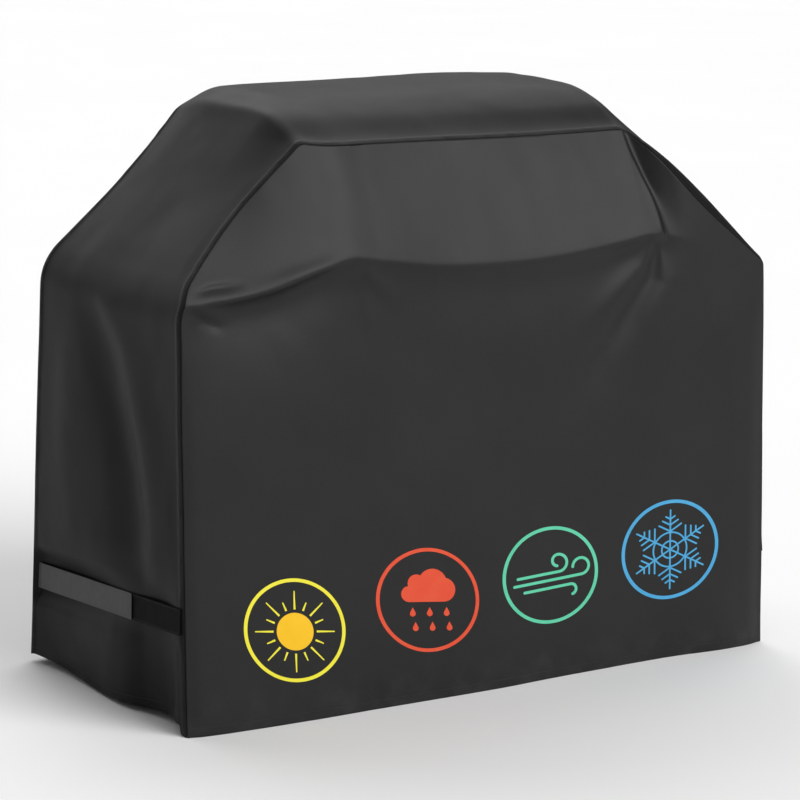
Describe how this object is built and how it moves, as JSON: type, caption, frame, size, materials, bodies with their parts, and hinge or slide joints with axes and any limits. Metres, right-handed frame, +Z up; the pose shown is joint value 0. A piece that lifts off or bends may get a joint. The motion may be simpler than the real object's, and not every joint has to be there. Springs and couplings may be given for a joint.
{
  "type": "grill cover",
  "caption": "Black fabric cover for a gas grill cart: hood-shaped front and back, a gusset over the top, a hook-and-loop strap on each side and printed weather badges.",
  "frame": {"origin": "middle of the open hem, on the ground", "axes": "+X to the right of someone facing the front, along the width; +Y from front to back; +Z up"},
  "size_m": [1.51, 0.708, 1.268],
  "materials": {
    "cover_fabric": "matte black coated oxford weave",
    "seam_binding": "matte black woven binding tape",
    "strap_webbing": "dull grey flat webbing",
    "hook_tape": "black nylon hook tape",
    "loop_webbing": "black flat webbing",
    "loop_tape": "black napped loop tape",
    "print_yellow": "matte heat-pressed film",
    "print_amber": "matte heat-pressed film",
    "print_red": "matte heat-pressed film",
    "print_green": "matte heat-pressed film",
    "print_blue": "matte heat-pressed film"
  },
  "bodies": {
    "cover": {"front_panel": "cover_fabric", "back_panel": "cover_fabric", "gusset_panel": "cover_fabric", "front_seam_binding": "seam_binding", "back_seam_binding": "seam_binding", "left_strap_anchor": "strap_webbing", "left_loop_strap": "loop_webbing", "left_loop_tape": "loop_tape", "right_strap_anchor": "strap_webbing", "right_loop_strap": "loop_webbing", "right_loop_tape": "loop_tape", "sun_badge": "print_yellow", "sun_badge_disc": "print_amber", "rain_badge": "print_red", "wind_badge": "print_green", "snow_badge": "print_blue"},
    "left_strap_root": {"left_strap_root": "strap_webbing"},
    "left_strap_tip": {"left_strap_tip": "strap_webbing", "left_hook_tape": "hook_tape"},
    "right_strap_root": {"right_strap_root": "strap_webbing"},
    "right_strap_tip": {"right_strap_tip": "strap_webbing", "right_hook_tape": "hook_tape"}
  },
  "joints": [
    {"name": "left_strap_peel", "type": "hinge", "parent": "cover", "child": "left_strap_root", "pos_m": [-0.74921, 0.30868, 0.19881], "axis": [-0.0498, -0.0638, -0.9967], "range_deg": [0, 150]},
    {"name": "left_strap_fold", "type": "hinge", "parent": "left_strap_root", "child": "left_strap_tip", "pos_m": [-0.74867, 0.13903, 0.20964], "axis": [-0.0498, -0.0638, -0.9967], "range_deg": [0, 120]},
    {"name": "right_strap_peel", "type": "hinge", "parent": "cover", "child": "right_strap_root", "pos_m": [0.74921, 0.30868, 0.19881], "axis": [-0.0498, 0.0638, 0.9967], "range_deg": [0, 150]},
    {"name": "right_strap_fold", "type": "hinge", "parent": "right_strap_root", "child": "right_strap_tip", "pos_m": [0.74867, 0.13903, 0.20964], "axis": [-0.0498, 0.0638, 0.9967], "range_deg": [0, 120]}
  ]
}
